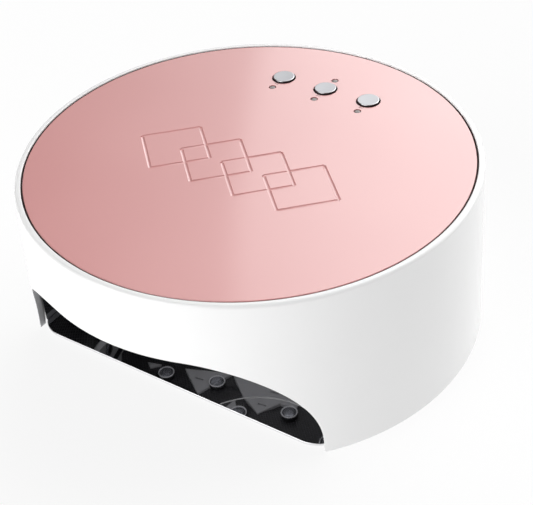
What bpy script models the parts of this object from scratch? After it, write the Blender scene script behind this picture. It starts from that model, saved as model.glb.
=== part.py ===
"""UV LED nail lamp: a round drafted housing that sits by magnets on a thin mirror tray.

Frame: metres, +Z up, origin on the table under the centre of the lamp.
The hand opening faces -Y, the controls and the power inlet are at +Y, +X is to the right.
"""

import math

import bmesh
import bpy
from mathutils import Euler, Vector

MM = 0.001
GAP = 0.3                      # clearance between neighbouring pieces, mm

# --- driving dimensions, mm ------------------------------------------------------------
BASE_RADIUS = 100.0            # outside of the housing at the table
DRAFT = 2.0                    # how much the radius shrinks over the full height
HEIGHT = 78.9                  # table to rim
WALL = 2.4
SHELL_BOTTOM = 0.5
RIM_EDGE = 1.5                 # rounding of the outer top edge
RIM_RADIUS_IN = 95.3           # inside of the rim, around the top plate
DECK_TOP = 76.0
DECK_BOTTOM = 73.8
DECK_RADIUS = RIM_RADIUS_IN - GAP
LEDGE_TOP = DECK_BOTTOM - GAP      # step inside the wall that the deck rests on
LEDGE_DEPTH = 4.5
LEDGE_RADIUS = 91.5

MOUTH_HALF_WIDTH = 74.6        # hand opening, an arch with straight feet
MOUTH_HEIGHT = 50.2
MOUTH_CORNER = 45.0

TRAY_RADIUS = 96.8
TRAY_FRONT = -66.6             # straight front edge, level with the housing's front corners
TRAY_CORNER = 14.0
TRAY_BOTTOM = 0.8
TRAY_TOP = 2.0
FOOT_RADIUS = 6.0
FOOT_TOP = 0.5
FOOT_RING = 80.0
FOOT_ANGLES = (-39.0, 219.0, 132.0, 48.0)

FRAME_BOTTOM = 2.3             # ring that closes the housing from below
FRAME_TOP = 5.1
FRAME_INNER = 80.3
FRAME_OUTER = 97.0
SCREW_RING = 93.2
SCREW_ANGLES = (-12.0, 192.0, 135.0, 45.0)
BOSS_RADIUS = 4.5
BOSS_TOP = 20.0
MAGNET_RING = 90.5
MAGNET_ANGLES = (-28.5, 208.5, 115.0, 65.0)
MAGNET_RADIUS = 3.0
MAGNET_TOP = 4.1

LINER_RADIUS = 80.0            # hand cavity
LINER_WALL = 2.0
LINER_BOTTOM = FRAME_TOP + GAP
LINER_TOP = 56.0

REFLECTOR_SIDES = 24           # facets line up with both rings of lamps
REFLECTOR_TOP = 59.6
REFLECTOR_PROFILE = ((0.0, 57.4), (36.0, 56.6), (60.0, 58.0), (78.0, 56.4), (84.0, 56.4))
LED_RINGS = ((24.0, 6, 30.0), (50.0, 8, 22.5))   # ring radius, lamps, angle of the first
LENS_RADIUS = 4.0
LENS_TIP = 54.2
LENS_SHOULDER = 55.9
SIDE_LENSES = ((-20.0, 46.0), (25.0, 28.0), (155.0, 28.0), (200.0, 46.0))   # angle, height
SIDE_LENS_TIP = 77.6           # distance of the dome's tip from the lamp's axis
LED_BOARD_BOTTOM = 60.0
LED_BOARD_TOP = 61.6
LED_BOARD_RADIUS = 70.0

PLATE_RADIUS = 94.8
PLATE_BOTTOM = 77.2
PLATE_TOP = 78.6
ADHESIVE = (86.0, 94.0, 76.3, 76.9)   # inner radius, outer radius, bottom, top

BUTTON_Y = 62.0
BUTTON_PITCH = 22.2
BUTTON_RADIUS = 4.85
BUTTON_TOP = 79.4
BUTTON_FLANGE = (6.5, 72.3, 73.5)     # radius, bottom, top
BUTTON_NAMES = ("left", "middle", "right")
PLATE_HOLE = 5.5
DECK_HOLE = 5.2
PLUNGER = (1.75, 68.4, 72.0)          # radius, bottom, top
SWITCH_WIDTH = 6.2
SWITCH_BOTTOM = 65.9
SWITCH_TOP = 69.4
SWITCH_WELL = (2.05, 67.6)            # radius, floor

DOT_RADIUS = 1.4
DOT_TOP = 78.5
DOT_Y = 52.4
EXTRA_DOT_Y = 70.5

BOARD = ((-36.0, 46.0, 64.0), (36.0, 76.0, 65.6))
BOARD_SCREW = (31.5, 54.0)

JACK_HEIGHT = 15.0
JACK_BARREL = 4.0
JACK_BORE = 3.2
JACK_PIN = 1.05
JACK_FLANGE = 5.6
JACK_FACE = 100.9
JACK_REAR = 86.0
SENSOR_Y = -88.0

ROUND = 96                     # segments around the lamp's own axis
SMALL = 20                     # segments around small pieces


def outer_radius(z):
    """Radius of the housing's drafted outside at height z."""
    return BASE_RADIUS - DRAFT * z / HEIGHT


def polar(radius, degrees):
    """Point at an angle around the lamp's axis, counted from +X."""
    angle = math.radians(degrees)
    return radius * math.cos(angle), radius * math.sin(angle)


def arc(centre, radius, start, end, steps):
    """Points along an arc, in degrees, with both ends."""
    angles = [start + (end - start) * i / steps for i in range(steps + 1)]
    return [(centre[0] + polar(radius, a)[0], centre[1] + polar(radius, a)[1]) for a in angles]


# --- scene, collections, materials -----------------------------------------------------
for old in list(bpy.data.objects):
    bpy.data.objects.remove(old, do_unlink=True)

PARTS = bpy.data.collections.new("uv_led_nail_lamp")
CUTTERS = bpy.data.collections.new("cutters")
for collection in (PARTS, CUTTERS):
    bpy.context.scene.collection.children.link(collection)


def srgb(code):
    """Linear colour from an sRGB hex code."""
    channels = [int(code[i:i + 2], 16) / 255 for i in (0, 2, 4)]
    linear = [c / 12.92 if c <= 0.04045 else ((c + 0.055) / 1.055) ** 2.4 for c in channels]
    return (*linear, 1.0)


def material(name, code, roughness, metallic=0.0):
    """A plain Principled material."""
    made = bpy.data.materials.new(name)
    made.use_nodes = True
    shader = made.node_tree.nodes["Principled BSDF"]
    shader.inputs["Base Color"].default_value = srgb(code)
    shader.inputs["Roughness"].default_value = roughness
    shader.inputs["Metallic"].default_value = metallic
    made.diffuse_color = srgb(code)
    return made


WHITE = material("white_gloss_plastic", "F1F0EF", 0.22)
PINK = material("pink_pearl_plate", "E9BFBC", 0.28, 0.35)
DARK_MIRROR = material("dark_mirror_steel", "3A3B3E", 0.05, 1.0)
SILVER = material("brushed_button_metal", "C3C4C8", 0.3, 1.0)
STEEL = material("zinc_screw_steel", "9FA2A6", 0.35, 1.0)
MAGNET = material("nickel_magnet", "B4B4B6", 0.25, 1.0)
BLACK = material("black_gloss_plastic", "15151A", 0.15)
GREY_FRAME = material("grey_frame_plastic", "8B8C8F", 0.5)
FACETS = material("reflector_gloss", "2A2A2F", 0.1, 0.6)
LENS = material("lamp_lens", "DCE3F2", 0.1)
BOARD_GREEN = material("circuit_board", "1F4A37", 0.5)
BOARD_WHITE = material("led_circuit_board", "E6E8E6", 0.4, 0.2)
SWITCH = material("switch_housing", "26262A", 0.5)
PLUNGER_MATERIAL = material("switch_plunger", "7A5A4A", 0.5)
DIFFUSER = material("indicator_diffuser", "9A9896", 0.4)
FOAM = material("adhesive_foam", "3A2C2C", 0.8)
RUBBER = material("foot_rubber", "2B2B2D", 0.8)
WIRE = material("wire_sleeve", "222226", 0.6)


# --- shape helpers, all in mm ----------------------------------------------------------
def add(name, mesh, surface=None):
    """Put a mesh in the lamp with its material, or in the cutters without one."""
    made = bpy.data.objects.new(name, mesh)
    if surface is None:
        CUTTERS.objects.link(made)
        made.hide_render = True
        made.display_type = "WIRE"
    else:
        PARTS.objects.link(made)
        mesh.materials.append(surface)
    return made


def mesh_of(name, bm):
    """Turn a bmesh in mm into a mesh in metres."""
    bmesh.ops.scale(bm, vec=(MM, MM, MM), verts=bm.verts)
    mesh = bpy.data.meshes.new(name)
    bm.to_mesh(mesh)
    bm.free()
    return mesh


def box(name, low, high, surface=None):
    """Axis-aligned box between two corners."""
    bm = bmesh.new()
    bmesh.ops.create_cube(bm, size=1.0)
    bmesh.ops.scale(bm, vec=[b - a for a, b in zip(low, high)], verts=bm.verts)
    bmesh.ops.translate(bm, vec=[(a + b) / 2 for a, b in zip(low, high)], verts=bm.verts)
    return add(name, mesh_of(name, bm), surface)


def drum(name, radius, bottom, top, surface=None, at=(0, 0), steps=SMALL, top_radius=None):
    """Upright cylinder, or a cone when the top radius differs."""
    bm = bmesh.new()
    upper = radius if top_radius is None else top_radius
    bmesh.ops.create_cone(bm, cap_ends=True, segments=steps, radius1=radius, radius2=upper,
                          depth=top - bottom)
    bmesh.ops.translate(bm, vec=(at[0], at[1], (bottom + top) / 2), verts=bm.verts)
    return add(name, mesh_of(name, bm), surface)


def turned(name, profile, surface=None, steps=SMALL, ring=False):
    """Turn a profile of (radius, height) about Z; it runs down its outer side."""
    bm = bmesh.new()
    points = [bm.verts.new((r, 0, z)) for r, z in profile]
    ends = points + points[:1] if ring else points
    for first, second in zip(ends, ends[1:]):
        bm.edges.new((first, second))
    made = add(name, mesh_of(name, bm), surface)
    screw = made.modifiers.new("turn", "SCREW")
    screw.steps = screw.render_steps = steps
    screw.use_merge_vertices = True
    screw.merge_threshold = 0.00001
    return made


def slab(name, outline, thickness, surface=None):
    """A flat closed outline in its own XY plane, centred on that plane."""
    curve = bpy.data.curves.new(name, "CURVE")
    curve.dimensions = "2D"
    curve.fill_mode = "BOTH"
    curve.extrude = thickness / 2 * MM
    spline = curve.splines.new("POLY")
    spline.points.add(len(outline) - 1)
    for point, (x, y) in zip(spline.points, outline):
        point.co = (x * MM, y * MM, 0, 1)
    spline.use_cyclic_u = True
    guide = bpy.data.objects.new(name + "_outline", curve)
    bpy.context.scene.collection.objects.link(guide)
    solid = guide.evaluated_get(bpy.context.evaluated_depsgraph_get())
    mesh = bpy.data.meshes.new_from_object(solid)
    bpy.data.objects.remove(guide, do_unlink=True)
    bm = bmesh.new()
    bm.from_mesh(mesh)
    bmesh.ops.remove_doubles(bm, verts=bm.verts, dist=0.00001)
    bm.to_mesh(mesh)
    bm.free()
    return add(name, mesh, surface)


def wire(name, points, radius, surface):
    """A soft lead through its points, smoothed by halving its corners."""
    path = [Vector(p) for p in points]
    for _ in range(2):
        finer = [path[0]]
        for first, second in zip(path, path[1:]):
            finer += [first.lerp(second, 0.25), first.lerp(second, 0.75)]
        path = finer + [path[-1]]
    curve = bpy.data.curves.new(name, "CURVE")
    curve.dimensions = "3D"
    curve.bevel_depth = radius * MM
    curve.bevel_resolution = 2
    curve.use_fill_caps = True
    spline = curve.splines.new("POLY")
    spline.points.add(len(path) - 1)
    for point, place in zip(spline.points, path):
        point.co = (*(place * MM), 1)
    made = bpy.data.objects.new(name, curve)
    PARTS.objects.link(made)
    curve.materials.append(surface)
    return made


def boolean(target, cutter, operation="DIFFERENCE"):
    """Cut the target with a cutter, or join or intersect them."""
    modifier = target.modifiers.new(operation.lower(), "BOOLEAN")
    modifier.operation = operation
    modifier.solver = "EXACT"
    modifier.object = cutter
    return target


def place(piece, at=(0, 0, 0), turn=(0, 0, 0)):
    """Move and turn a piece; mm and degrees."""
    piece.location = Vector(at) * MM
    piece.rotation_euler = Euler([math.radians(a) for a in turn])
    return piece


def smooth(piece, degrees=30):
    """Shade the round parts of a mesh smooth and keep its edges sharp."""
    if piece.type == "MESH":
        piece.data.shade_smooth()
        piece.data.set_sharp_from_angle(angle=math.radians(degrees))


# --- tray and feet ---------------------------------------------------------------------
def tray_outline():
    """A circle with a straight front edge and rounded front corners."""
    corner_ring = TRAY_RADIUS - TRAY_CORNER
    corner_y = TRAY_FRONT + TRAY_CORNER
    corner_x = math.sqrt(corner_ring ** 2 - corner_y ** 2)
    meet = math.degrees(math.atan2(corner_y, corner_x))
    rim = arc((0, 0), TRAY_RADIUS, meet, 180 - meet, 72)
    left = arc((-corner_x, corner_y), TRAY_CORNER, 180 - meet, 270, 6)
    right = arc((corner_x, corner_y), TRAY_CORNER, -90, meet, 6)
    return rim + left[1:] + right[:-1]


def make_tray():
    """Mirror tray on four thin rubber pads."""
    tray = slab("base_tray", tray_outline(), TRAY_TOP - TRAY_BOTTOM, DARK_MIRROR)
    place(tray, (0, 0, (TRAY_TOP + TRAY_BOTTOM) / 2))
    for number, angle in enumerate(FOOT_ANGLES, 1):
        drum(f"foot_{number}", FOOT_RADIUS, 0, FOOT_TOP, RUBBER, polar(FOOT_RING, angle), 24)


# --- housing ---------------------------------------------------------------------------
def arch_outline(grow=0.0):
    """The hand opening's outline in X and Z, optionally grown all round."""
    half = MOUTH_HALF_WIDTH + grow
    top = MOUTH_HEIGHT + grow
    corner = MOUTH_CORNER + grow
    right = arc((half - corner, top - corner), corner, 0, 90, 12)
    left = arc((corner - half, top - corner), corner, 90, 180, 12)
    return [(half, -3.0)] + right + left + [(-half, -3.0)]


def arch_prism(name, front, back, grow=0.0):
    """The hand opening's outline as a long block along Y, for cutting or joining."""
    prism = slab(name, arch_outline(grow), back - front)
    return place(prism, (0, (front + back) / 2, 0), (90, 0, 0))


def make_shell():
    """Drafted outer wall with its rim, deck ledge, screw bosses and openings."""
    inner_bottom = outer_radius(SHELL_BOTTOM) - WALL
    ledge_bottom = LEDGE_TOP - LEDGE_DEPTH
    inner_top = outer_radius(ledge_bottom) - WALL
    edge = arc((outer_radius(HEIGHT) - RIM_EDGE, HEIGHT - RIM_EDGE), RIM_EDGE, 90, 0, 4)
    profile = [(RIM_RADIUS_IN, LEDGE_TOP), (RIM_RADIUS_IN, HEIGHT), *edge,
               (outer_radius(SHELL_BOTTOM), SHELL_BOTTOM), (inner_bottom, SHELL_BOTTOM),
               (inner_top, ledge_bottom), (LEDGE_RADIUS, LEDGE_TOP)]
    shell = turned("outer_shell", profile, WHITE, ROUND, ring=True)
    for number, angle in enumerate(SCREW_ANGLES, 1):
        at = polar(SCREW_RING, angle)
        boolean(shell, drum(f"cut_boss_{number}", BOSS_RADIUS, LINER_BOTTOM, BOSS_TOP, at=at,
                            steps=16), "UNION")
        boolean(shell, drum(f"cut_pilot_{number}", 1.5, LINER_BOTTOM - 1, 15.5, at=at, steps=12))
    boolean(shell, arch_prism("cut_mouth", -120.0, -20.0))
    jack_hole = drum("cut_jack_hole", JACK_BARREL + GAP, -8, 8, steps=24)
    boolean(shell, place(jack_hole, (0, BASE_RADIUS - 2, JACK_HEIGHT), (90, 0, 0)))
    smooth(shell)
    return shell


def make_deck():
    """Disc that closes the shell below the decor plate and carries the control board."""
    deck = turned("top_deck", [(0, DECK_TOP), (DECK_RADIUS, DECK_TOP),
                               (DECK_RADIUS, DECK_BOTTOM), (0, DECK_BOTTOM)], WHITE, ROUND)
    for side in (-1, 1):
        at = (side * BOARD_SCREW[0], BOARD_SCREW[1])
        boolean(deck, drum(f"cut_post_{side}", 3.0, SWITCH_BOTTOM, DECK_BOTTOM + 1, at=at,
                           steps=16), "UNION")
        boolean(deck, drum(f"cut_post_pilot_{side}", 1.3, SWITCH_BOTTOM - 1, 72.0, at=at,
                           steps=12))
    for x, y, radius in top_holes(DECK_HOLE):
        boolean(deck, drum(f"cut_deck_{x:.0f}_{y:.0f}", radius, 70, 80, at=(x, y), steps=24))
    smooth(deck)
    return deck


def top_holes(button_hole):
    """Holes through the deck or the plate: x, y, radius."""
    xs = (-BUTTON_PITCH, 0.0, BUTTON_PITCH)
    holes = [(x, BUTTON_Y, button_hole) for x in xs]
    return holes + [(x, y, DOT_RADIUS + GAP) for x, y in dot_places()]


def dot_places():
    """Indicator lights: one in front of each button and one behind the middle button."""
    return [(x, DOT_Y) for x in (-BUTTON_PITCH, 0.0, BUTTON_PITCH)] + [(0.0, EXTRA_DOT_Y)]


def make_top():
    """Decor plate glued into the top recess, with the adhesive ring below it."""
    bevel = 0.4
    plate = turned("top_plate", [(0, PLATE_TOP), (PLATE_RADIUS - bevel, PLATE_TOP),
                                 (PLATE_RADIUS, PLATE_TOP - bevel),
                                 (PLATE_RADIUS, PLATE_BOTTOM), (0, PLATE_BOTTOM)], PINK, ROUND)
    for x, y, radius in top_holes(PLATE_HOLE):
        boolean(plate, drum(f"cut_plate_{x:.0f}_{y:.0f}", radius, 74, 82, at=(x, y), steps=24))
    smooth(plate)
    inner, outer, bottom, top = ADHESIVE
    turned("plate_adhesive", [(inner, top), (outer, top), (outer, bottom), (inner, bottom)],
           FOAM, 72, ring=True)


def make_frame():
    """Ring that closes the housing below, with its screws and the tray magnets."""
    frame = turned("bottom_frame", [(FRAME_INNER, FRAME_TOP), (FRAME_OUTER, FRAME_TOP),
                                    (FRAME_OUTER, FRAME_BOTTOM), (FRAME_INNER, FRAME_BOTTOM)],
                   GREY_FRAME, ROUND, ring=True)
    reach = MOUTH_HALF_WIDTH + GAP
    boolean(frame, box("cut_frame_front", (-reach, -110, 0), (reach, 0, 10)))
    for number, angle in enumerate(SCREW_ANGLES, 1):
        at = polar(SCREW_RING, angle)
        boolean(frame, drum(f"cut_screw_hole_{number}", 1.8, 0, 8, at=at, steps=16))
        boolean(frame, drum(f"cut_screw_seat_{number}", 3.4, 0, 3.9, at=at, steps=16))
        screw = turned(f"frame_screw_{number}", [(0, 14.5), (0.9, 13.6), (1.2, 12.8), (1.2, 3.6),
                                                 (3.0, 3.6), (3.0, 2.6), (0, 2.6)], STEEL, 16)
        place(screw, (*at, 0))
        smooth(screw)
    for number, angle in enumerate(MAGNET_ANGLES, 1):
        at = polar(MAGNET_RING, angle)
        boolean(frame, drum(f"cut_magnet_{number}", MAGNET_RADIUS + GAP, 0, MAGNET_TOP + GAP,
                            at=at, steps=20))
        drum(f"tray_magnet_{number}", MAGNET_RADIUS, FRAME_BOTTOM + 0.1, MAGNET_TOP, MAGNET,
             at, 20)
    smooth(frame)


def make_liner():
    """Dark hood of the hand cavity: a drum with an arched way to the front opening."""
    drum_outside = LINER_RADIUS + LINER_WALL
    liner = drum("inner_liner", drum_outside, 0, 60, BLACK, steps=ROUND)
    boolean(liner, arch_prism("join_tunnel", -110.0, 0.0, LINER_WALL), "UNION")
    fits = drum("join_liner_limit", outer_radius(LINER_BOTTOM) - WALL - 0.5, LINER_BOTTOM,
                LINER_TOP, steps=ROUND, top_radius=outer_radius(LINER_TOP) - WALL - 0.5)
    boolean(liner, fits, "INTERSECT")
    boolean(liner, drum("cut_cavity", LINER_RADIUS, -5, 70, steps=ROUND))
    boolean(liner, arch_prism("cut_tunnel", -120.0, -0.5))
    boolean(liner, drum("cut_sensor_hole", 2.8, 45, 60, at=(0, SENSOR_Y), steps=20))
    for number, (angle, height) in enumerate(SIDE_LENSES, 1):
        hole = drum(f"cut_side_lens_{number}", LENS_RADIUS + GAP, 70, 90, steps=20)
        boolean(liner, place(hole, (0, 0, height), (0, 90, angle)))
    smooth(liner)


def make_reflector():
    """Faceted ceiling of the hand cavity, pierced for the lamps."""
    outer = REFLECTOR_PROFILE[-1][0]
    profile = [(0, REFLECTOR_TOP), (outer, REFLECTOR_TOP)] + list(reversed(REFLECTOR_PROFILE))
    reflector = turned("reflector", profile, FACETS, REFLECTOR_SIDES)
    for number, (x, y) in enumerate(led_places(), 1):
        boolean(reflector, drum(f"cut_led_{number}", LENS_RADIUS + GAP, 50, 65, at=(x, y),
                                steps=20))


def led_places():
    """Centres of the ceiling lamps, inner ring first."""
    places = []
    for radius, count, first in LED_RINGS:
        places += [polar(radius, first + 360 * i / count) for i in range(count)]
    return places


def dome(radius, shoulder, tip, steps=3):
    """Profile of a rounded lens tip, from its shoulder to the axis."""
    angles = [90 * i / steps for i in range(steps + 1)]
    return [(radius * math.cos(math.radians(a)),
             shoulder - (shoulder - tip) * math.sin(math.radians(a))) for a in angles[:-1]] + [
                 (0, tip)]


def make_lamps():
    """Ceiling lenses on their round board, and the lenses in the side wall."""
    top = LED_BOARD_BOTTOM - GAP
    profile = [(0, top), (LENS_RADIUS, top)] + dome(LENS_RADIUS, LENS_SHOULDER, LENS_TIP)
    for number, (x, y) in enumerate(led_places(), 1):
        lens = turned(f"led_lens_{number:02d}", profile, LENS, 16)
        place(lens, (x, y, 0))
        smooth(lens, 50)
    back = LINER_RADIUS + LINER_WALL + 1.6
    seat = LINER_RADIUS + LINER_WALL + 0.4
    side = [(0, -SIDE_LENS_TIP)] + [(r, -z) for r, z in reversed(
        dome(LENS_RADIUS, SIDE_LENS_TIP + 1.7, SIDE_LENS_TIP)[:-1])]
    side += [(LENS_RADIUS, -seat), (5.5, -seat), (5.5, -back), (0, -back)]
    for number, (angle, height) in enumerate(SIDE_LENSES, 1):
        lens = turned(f"side_lens_{number}", side, LENS, 16)
        place(lens, (0, 0, height), (0, -90, angle))
        smooth(lens, 50)
    board = drum("led_board", LED_BOARD_RADIUS, LED_BOARD_BOTTOM, LED_BOARD_TOP, BOARD_WHITE,
                 steps=48)
    boolean(board, drum("cut_led_board", 6.0, 55, 65, steps=24))


# --- controls --------------------------------------------------------------------------
def make_controls():
    """Control board with its screws, switches, light pipes, plungers and button caps."""
    board = box("control_board", *BOARD, BOARD_GREEN)
    board_bottom = BOARD[0][2]
    for number, side in enumerate((-1, 1), 1):
        at = (side * BOARD_SCREW[0], BOARD_SCREW[1])
        boolean(board, drum(f"cut_board_{number}", 1.5, 60, 70, at=at, steps=16))
        head = board_bottom - GAP
        screw = turned(f"board_screw_{number}", [(0, 70.5), (1.0, 70.0), (1.0, head), (2.5, head),
                                                 (2.5, head - 1.3), (0, head - 1.3)], STEEL, 16)
        place(screw, (*at, 0))
    for name, x in zip(BUTTON_NAMES, (-BUTTON_PITCH, 0.0, BUTTON_PITCH)):
        half = SWITCH_WIDTH / 2
        switch = box(f"tact_switch_{name}", (x - half, BUTTON_Y - half, SWITCH_BOTTOM),
                     (x + half, BUTTON_Y + half, SWITCH_TOP), SWITCH)
        boolean(switch, drum(f"cut_well_{name}", SWITCH_WELL[0], SWITCH_WELL[1], 75,
                             at=(x, BUTTON_Y), steps=16))
        plunger = turned(f"switch_plunger_{name}", [(0, PLUNGER[2]), (PLUNGER[0], PLUNGER[2]),
                                                    (PLUNGER[0], PLUNGER[1]), (0, PLUNGER[1])],
                         PLUNGER_MATERIAL, 16)
        place(plunger, (x, BUTTON_Y, 0))
        flange, low, high = BUTTON_FLANGE
        cap = turned(f"button_{name}", [(0, BUTTON_TOP), (BUTTON_RADIUS - 0.5, BUTTON_TOP),
                                        (BUTTON_RADIUS, BUTTON_TOP - 0.5), (BUTTON_RADIUS, high),
                                        (flange, high), (flange, low), (0, low)], SILVER, 32)
        place(cap, (x, BUTTON_Y, 0))
        smooth(cap)
    foot = SWITCH_BOTTOM + GAP
    for number, (x, y) in enumerate(dot_places(), 1):
        pipe = turned(f"light_pipe_{number}", [(0, DOT_TOP), (DOT_RADIUS, DOT_TOP),
                                               (DOT_RADIUS, foot + 1), (2.2, foot + 1),
                                               (2.2, foot), (0, foot)], DIFFUSER, 16)
        place(pipe, (x, y, 0))


def make_power():
    """Power inlet in the back wall, its nut, and the two inner leads."""
    flange_back = JACK_FACE - 0.8
    floor = JACK_FACE - 11.5
    profile = [(0, JACK_FACE - 1.5), (JACK_PIN, JACK_FACE - 1.5), (JACK_PIN, floor),
               (JACK_BORE, floor), (JACK_BORE, JACK_FACE), (JACK_FLANGE, JACK_FACE),
               (JACK_FLANGE, flange_back), (JACK_BARREL, flange_back), (JACK_BARREL, JACK_REAR),
               (0, JACK_REAR)]
    jack = turned("dc_jack", profile, BLACK, 24)
    place(jack, (0, 0, JACK_HEIGHT), (-90, 0, 0))
    smooth(jack)
    nut = drum("jack_nut", 6.9, 94.0, 96.4, STEEL, steps=6)
    boolean(nut, place(drum("cut_nut", JACK_BARREL + GAP, 80, 105, steps=24),
                       (0, 0, JACK_HEIGHT), (-90, 0, 0)))
    place(nut, (0, 0, JACK_HEIGHT), (-90, 0, 0))
    board_z = (BOARD[0][2] + BOARD[1][2]) / 2
    wire("power_lead", [(0, JACK_REAR - GAP, JACK_HEIGHT), (0, 84.2, 15.2), (0, 84.3, 18),
                        (0, 87, 26), (0, 90, 40), (0, 90, 54), (0, 87, board_z),
                        (0, 80, board_z), (0, BOARD[1][1] + GAP, board_z)], 1.0, WIRE)
    wire("led_lead", [(0, BOARD[0][1] - GAP, board_z), (0, 28, board_z),
                      (0, 28, LED_BOARD_TOP + GAP)], 1.0, WIRE)


def make_sensor():
    """Hand sensor on the roof of the arched way, looking down through a hole."""
    roof = MOUTH_HEIGHT + LINER_WALL
    sensor = box("hand_sensor", (-7, SENSOR_Y - 3.5, roof + GAP), (7, SENSOR_Y + 3.5, 55.8),
                 SWITCH)
    boolean(sensor, drum("join_sensor_eye", 2.5, MOUTH_HEIGHT - 0.4, roof + 2,
                         at=(0, SENSOR_Y), steps=20), "UNION")


make_tray()
make_shell()
make_deck()
make_top()
make_frame()
make_liner()
make_reflector()
make_lamps()
make_controls()
make_power()
make_sensor()
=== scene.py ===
# %% [markdown]
# # A UV LED nail lamp
# A nail lamp is a round plastic housing that sits on a thin mirror tray. A hand goes in through
# the arch at the front, and lamps in a faceted ceiling cure the varnish. The sizes and places of
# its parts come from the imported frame. This script gives each part its real edges, holes and
# finish.

import math

import bmesh
import bpy
from mathutils import Matrix, Vector


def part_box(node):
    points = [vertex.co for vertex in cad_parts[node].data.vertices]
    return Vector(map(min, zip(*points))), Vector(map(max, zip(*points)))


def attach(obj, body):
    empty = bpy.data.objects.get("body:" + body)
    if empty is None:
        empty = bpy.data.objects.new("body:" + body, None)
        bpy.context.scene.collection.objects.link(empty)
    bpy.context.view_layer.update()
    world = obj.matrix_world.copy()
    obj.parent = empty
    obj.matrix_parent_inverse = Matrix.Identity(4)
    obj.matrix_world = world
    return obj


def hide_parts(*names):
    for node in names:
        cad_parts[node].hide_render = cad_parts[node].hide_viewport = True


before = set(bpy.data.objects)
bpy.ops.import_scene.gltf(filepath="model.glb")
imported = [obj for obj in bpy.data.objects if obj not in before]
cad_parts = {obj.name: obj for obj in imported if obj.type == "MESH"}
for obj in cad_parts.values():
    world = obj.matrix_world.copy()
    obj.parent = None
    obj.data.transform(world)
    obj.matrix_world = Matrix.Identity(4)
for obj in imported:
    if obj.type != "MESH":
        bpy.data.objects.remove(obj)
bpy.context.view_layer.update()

# %% [markdown]
# ## Working in millimetres
# The parts are small, so every shape is drawn in millimetres and scaled to metres once, when it
# is finished. A few main sizes are read back from the frame, so that a change there is followed
# here.

# %% Main sizes
MM = 0.001


def extent(name):
    """Lowest and highest corner of a part of the frame, in millimetres."""
    low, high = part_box(name)
    return low / MM, high / MM


def reach_of(name):
    """Lowest corner, highest corner, middle and radius of a round upright part."""
    low, high = extent(name)
    return low, high, (low + high) / 2, (high.x - low.x) / 2


shell_low, shell_high = extent("outer_shell")
plate_low, plate_high = extent("top_plate")
tray_low, tray_high = extent("base_tray")
BASE_RADIUS = 100.0                    # outside of the housing, extended to the table
RIM_TOP = shell_high.z
SHELL_BOTTOM = shell_low.z
DRAFT = 2.0                            # the radius lost from the table to the rim
WALL = 2.4
PLATE_TOP = plate_high.z
PLATE_RADIUS = plate_high.x
TRAY_TOP = tray_high.z
print("rim at", round(RIM_TOP, 2), "mm, plate radius", round(PLATE_RADIUS, 2), "mm")

# %% [markdown]
# ## Making and finishing a piece
# Most parts of the lamp are round, so one helper spins a profile around the upright axis.
# Another one turns a finished bmesh into an object, gives it its materials, parents it to the
# empty of the body it moves with and hides the plain parts it stands for.


# %% Spin a profile
def face_out(bm):
    """Turn every face of a bmesh outwards."""
    bmesh.ops.recalc_face_normals(bm, faces=bm.faces)
    return bm


def spin(profile, steps, closed=False):
    """Spin (radius, height) points about Z into a bmesh with its faces pointing out."""
    bm = bmesh.new()
    points = [bm.verts.new((r, 0, z)) for r, z in profile]
    ends = points + points[:1] if closed else points
    edges = [bm.edges.new(pair) for pair in zip(ends, ends[1:])]
    bmesh.ops.spin(bm, geom=points + edges, cent=(0, 0, 0), axis=(0, 0, 1), dvec=(0, 0, 0),
                   angle=math.tau, steps=steps, use_merge=True)
    bmesh.ops.remove_doubles(bm, verts=bm.verts, dist=0.0001)
    return face_out(bm)


def arc(centre, radius, start, end, steps):
    """Points along an arc in a plane, in degrees, with both ends."""
    angles = [math.radians(start + (end - start) * i / steps) for i in range(steps + 1)]
    return [(centre[0] + radius * math.cos(a), centre[1] + radius * math.sin(a)) for a in angles]


def turned(degrees, axis="Z"):
    """Matrix of a turn about an axis."""
    return Matrix.Rotation(math.radians(degrees), 4, axis)


def move(bm, at=(0, 0, 0), matrix=None, verts=None):
    """Turn, then move, a bmesh or some of its vertices."""
    chosen = bm.verts if verts is None else verts
    if matrix is not None:
        bmesh.ops.transform(bm, matrix=matrix, verts=chosen)
    bmesh.ops.translate(bm, vec=at, verts=chosen)
    return bm


# %% Finish a piece
pieces = []


def new_object(name, data):
    """A new object, linked into the scene."""
    made = bpy.data.objects.new(name, data)
    bpy.context.scene.collection.objects.link(made)
    return made


def finish(bm, name, body, surfaces, stands_for=(), sharp=30.0):
    """Turn a bmesh in millimetres into a piece of the lamp."""
    bmesh.ops.scale(bm, vec=(MM, MM, MM), verts=bm.verts)
    mesh = bpy.data.meshes.new(name)
    bm.to_mesh(mesh)
    bm.free()
    for surface in surfaces:
        mesh.materials.append(surface)
    mesh.shade_smooth()
    mesh.set_sharp_from_angle(angle=math.radians(sharp))
    piece = new_object(name, mesh)
    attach(piece, body)
    if stands_for:
        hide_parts(*stands_for)
    pieces.append(piece)
    return piece


def cut(bm, cutter):
    """Cut a bmesh with another one; both are in millimetres and the cutter is used up."""
    both = []
    for shape in (bm, cutter):
        mesh = bpy.data.meshes.new("blank")
        shape.to_mesh(mesh)
        shape.free()
        both.append(new_object("blank", mesh))
    knife = both[0].modifiers.new("knife", "BOOLEAN")
    knife.operation = "DIFFERENCE"
    knife.solver = "EXACT"
    knife.use_self = True
    knife.object = both[1]
    result = bmesh.new()
    result.from_object(both[0], bpy.context.evaluated_depsgraph_get())
    for used in both:
        mesh = used.data
        bpy.data.objects.remove(used, do_unlink=True)
        bpy.data.meshes.remove(mesh)
    return result


def paint(bm, pick):
    """Give every face the material of this number, or of the one picked for its middle."""
    for face in bm.faces:
        face.material_index = pick(face.calc_center_median()) if callable(pick) else pick
    return bm


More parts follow.
